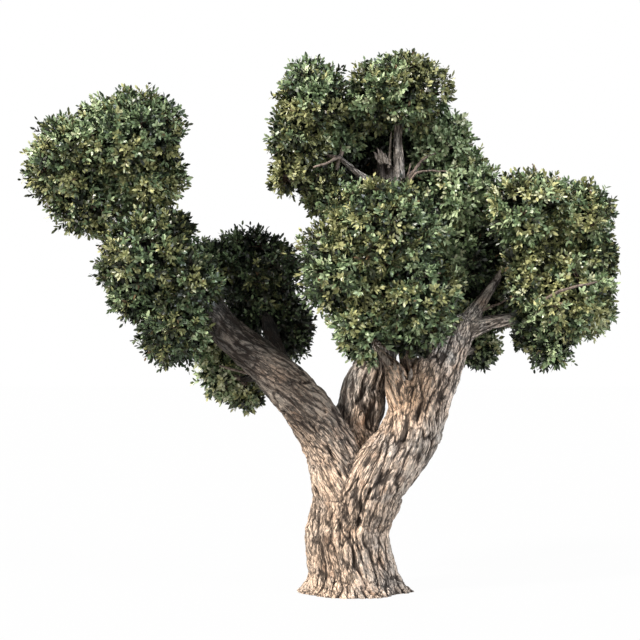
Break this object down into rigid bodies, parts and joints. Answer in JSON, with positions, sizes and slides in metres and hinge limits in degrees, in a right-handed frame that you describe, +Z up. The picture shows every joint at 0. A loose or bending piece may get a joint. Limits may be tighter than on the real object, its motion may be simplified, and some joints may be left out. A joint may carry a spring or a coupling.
{
  "type": "olive tree",
  "caption": "Old cloud-pruned olive tree: short gnarled fluted trunk forking low into heavy twisting limbs that carry dense rounded heads of small leaves.",
  "frame": {"origin": "centre of the flat cut under the trunk, at ground level", "axes": "+Z up along the trunk, -Y the front of the tree, +X to its right seen from the front"},
  "size_m": [4.8079, 2.0265, 4.3459],
  "materials": {
    "bark": "deeply furrowed, matt",
    "dead_wood": "bare weathered wood, matt",
    "leaf": "small leathery leaves, satin"
  },
  "bodies": {
    "root": {"trunk": "bark", "right_limb": "bark", "left_limb": "bark", "rear_limb": "bark", "crown_limb": "bark", "dead_snag": "dead_wood", "left_upper_bough": "bark", "left_front_bough": "bark", "left_rear_bough": "bark", "left_low_bough": "bark", "front_bough": "bark", "crown_top_bough": "bark", "crown_stub": "bark", "crown_left_bough": "bark", "crown_right_bough": "bark", "crown_rear_bough": "bark", "right_upper_bough": "bark", "right_lower_bough": "bark", "right_rear_bough": "bark", "rear_bough": "bark", "far_left_foliage": "leaf", "left_front_foliage": "leaf", "left_rear_foliage": "leaf", "left_low_foliage": "leaf", "front_foliage": "leaf", "top_left_foliage": "leaf", "top_foliage": "leaf", "crown_rear_foliage": "leaf", "upper_right_foliage": "leaf", "right_high_foliage": "leaf", "right_low_foliage": "leaf", "right_rear_foliage": "leaf", "rear_foliage": "leaf"}
  },
  "joints": []
}
